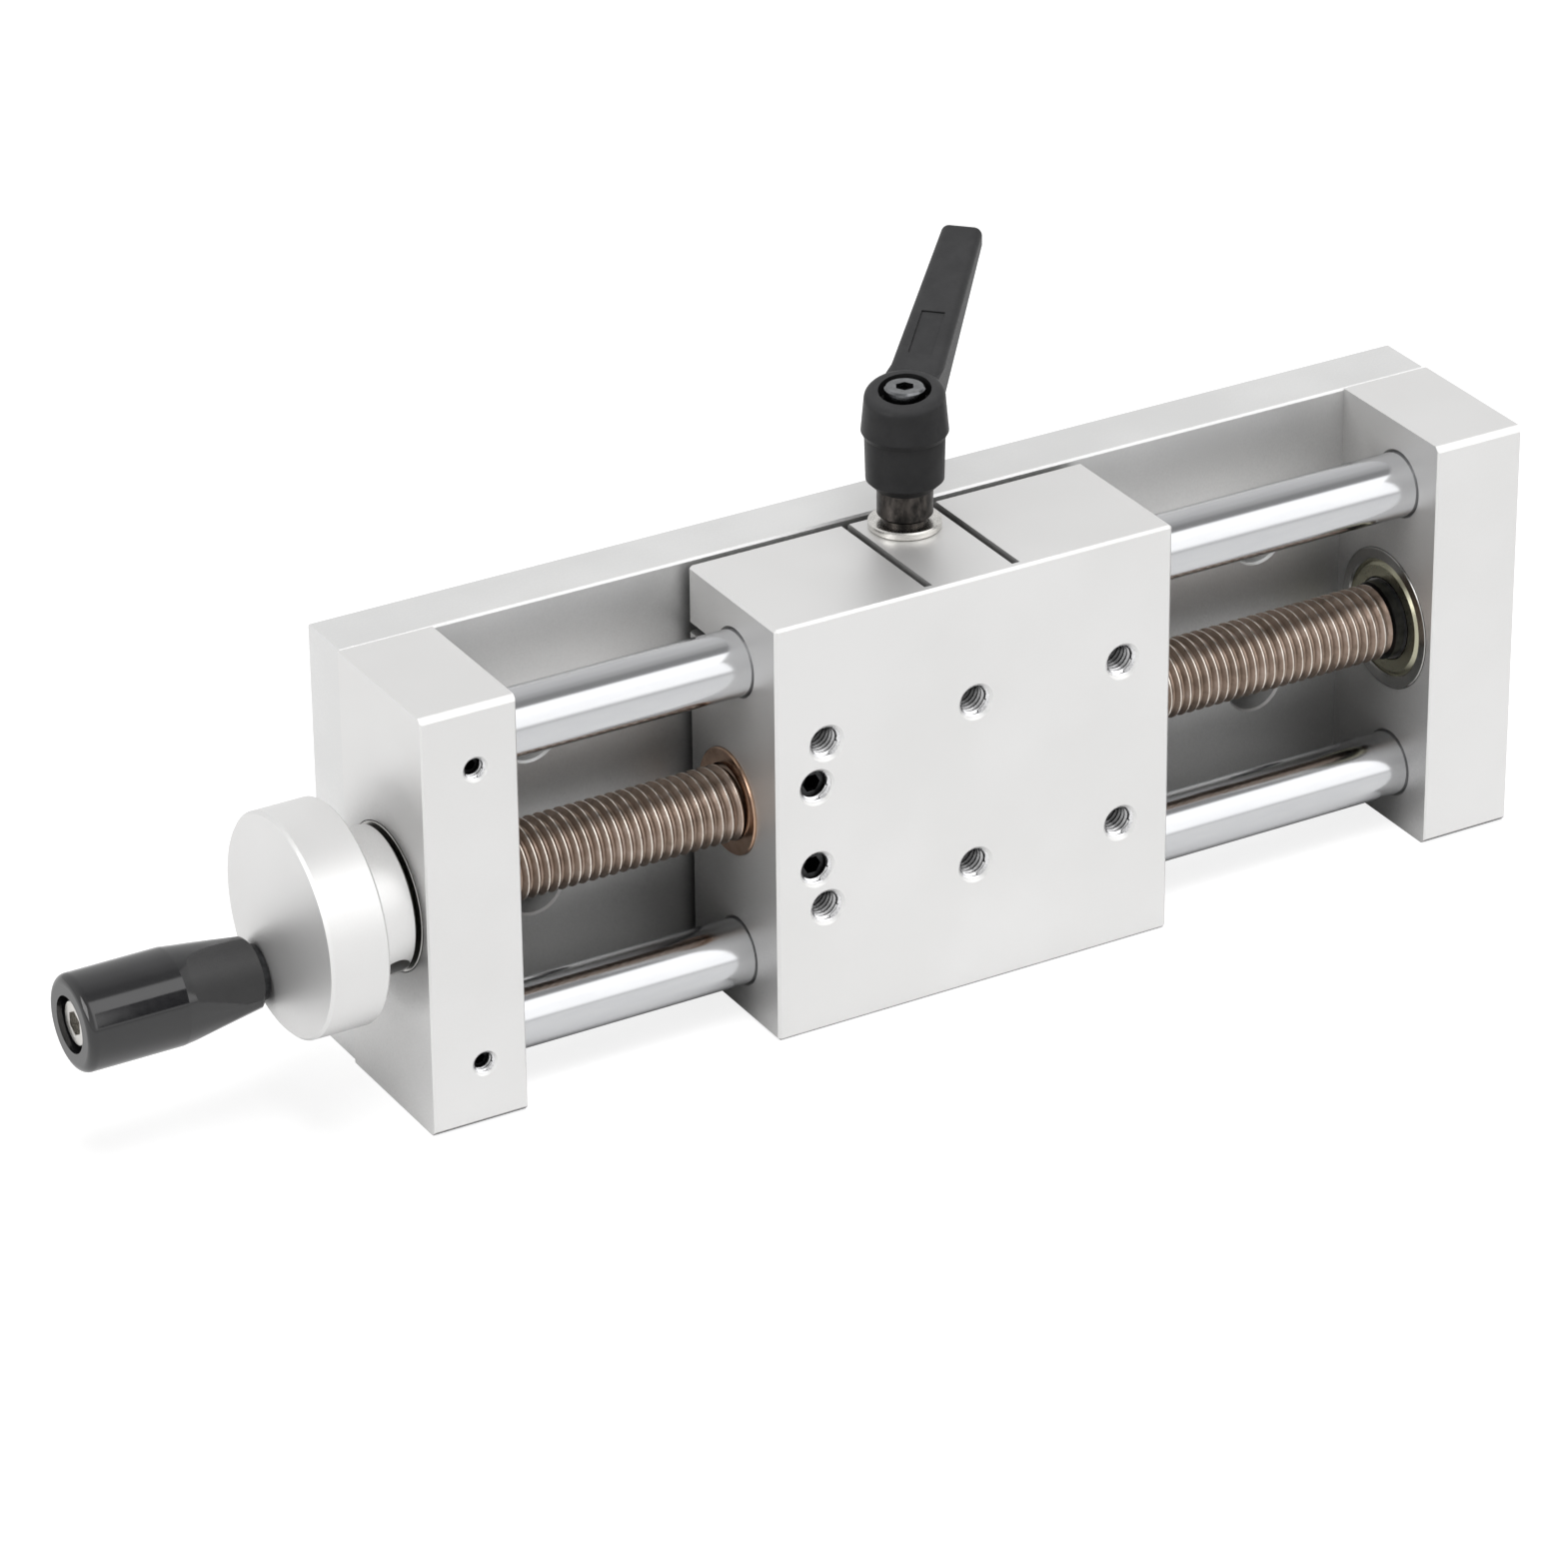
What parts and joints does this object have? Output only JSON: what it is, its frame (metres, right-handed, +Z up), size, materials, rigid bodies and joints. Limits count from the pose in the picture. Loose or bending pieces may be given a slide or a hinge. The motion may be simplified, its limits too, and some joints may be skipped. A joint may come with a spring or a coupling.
{
  "type": "manual linear stage",
  "caption": "Manual linear stage: a handwheel-driven lead screw moves a square aluminium carriage on round guide shafts between end blocks on a base plate, with a lever clamp.",
  "frame": {"origin": "centre of the base plate's mounting face, at the back", "axes": "+X along the travel, away from the handwheel; +Y out of the mounting face, so the carriage face looks along -Y; +Z up, with the clamping lever on top"},
  "size_m": [0.2776, 0.0609, 0.1184],
  "materials": {
    "anodised_aluminium": "bead blasted and clear anodised",
    "ground_shaft": "hardened, ground and hard chromed",
    "screw_steel": "rolled thread, lightly oiled",
    "nut_bronze": "turned",
    "bearing_steel": "ground",
    "shield_zinc": "yellow zinc plated, pressed",
    "cage_polymer": "moulded",
    "black_steel": "black oxide",
    "plain_steel": "turned",
    "grip_plastic": "glossy moulded",
    "lever_coat": "matt black coating on a die casting"
  },
  "bodies": {
    "base": {"base_plate": "anodised_aluminium", "plate_screws": "black_steel", "left_block": "anodised_aluminium", "right_block": "anodised_aluminium", "guide_shaft_upper": "ground_shaft", "guide_shaft_lower": "ground_shaft", "shaft_grub_screws": "black_steel", "left_bearing_outer_ring": "bearing_steel", "right_bearing_outer_ring": "bearing_steel", "left_bearing_shields": "shield_zinc", "right_bearing_shields": "shield_zinc"},
    "screw": {"lead_screw": "screw_steel", "retaining_ring": "black_steel", "handwheel": "anodised_aluminium", "hub_grub_screw": "black_steel", "grip_sleeve": "black_steel", "grip_bolt": "plain_steel", "left_bearing_inner_ring": "bearing_steel", "right_bearing_inner_ring": "bearing_steel", "left_spacer": "black_steel", "right_spacer": "black_steel"},
    "grip": {"grip": "grip_plastic"},
    "left_balls": {"left_bearing_balls": "bearing_steel", "left_bearing_cage": "cage_polymer"},
    "right_balls": {"right_bearing_balls": "bearing_steel", "right_bearing_cage": "cage_polymer"},
    "carriage": {"carriage_block": "anodised_aluminium", "lead_nut": "nut_bronze", "nut_grub_screws": "black_steel", "clamp_washer": "plain_steel"},
    "clamp": {"clamp_insert": "black_steel", "lever_screw": "black_steel", "lever_spring": "plain_steel"},
    "lever": {"clamp_lever": "lever_coat"}
  },
  "joints": [
    {"name": "screw_turn", "type": "hinge", "parent": "base", "child": "screw", "pos_m": [0, -0.027, 0], "axis": [1, 0, 0], "range_deg": [-10208, 8642]},
    {"name": "carriage_slide", "type": "slide", "parent": "base", "child": "carriage", "axis": [1, 0, 0], "range_m": [-0.048, 0.0567]},
    {"name": "left_cage_turn", "type": "hinge", "parent": "base", "child": "left_balls", "pos_m": [-0.1082, -0.027, 0], "axis": [1, 0, 0], "range_deg": [-4197, 3554]},
    {"name": "right_cage_turn", "type": "hinge", "parent": "base", "child": "right_balls", "pos_m": [0.0958, -0.027, 0], "axis": [1, 0, 0], "range_deg": [-4197, 3554]},
    {"name": "grip_spin", "type": "hinge", "parent": "screw", "child": "grip", "pos_m": [-0.15, -0.01787, -0.01314], "axis": [1, 0, 0], "continuous": true},
    {"name": "clamp_turn", "type": "hinge", "parent": "carriage", "child": "clamp", "pos_m": [-0.0043, -0.0198, 0.045], "axis": [0, 0, 1], "range_deg": [-15, 90]},
    {"name": "lever_lift", "type": "slide", "parent": "clamp", "child": "lever", "axis": [0, 0, 1], "range_m": [0, 0.0032], "stiffness_N_per_m": 500, "springref_m": -0.002, "deforming": ["lever_spring"]}
  ],
  "couplings": [
    {"joint": "screw_turn", "follows": "carriage_slide", "rad_per_m": -3141.6},
    {"joint": "left_cage_turn", "follows": "carriage_slide", "rad_per_m": -1291.5},
    {"joint": "right_cage_turn", "follows": "carriage_slide", "rad_per_m": -1291.5}
  ]
}
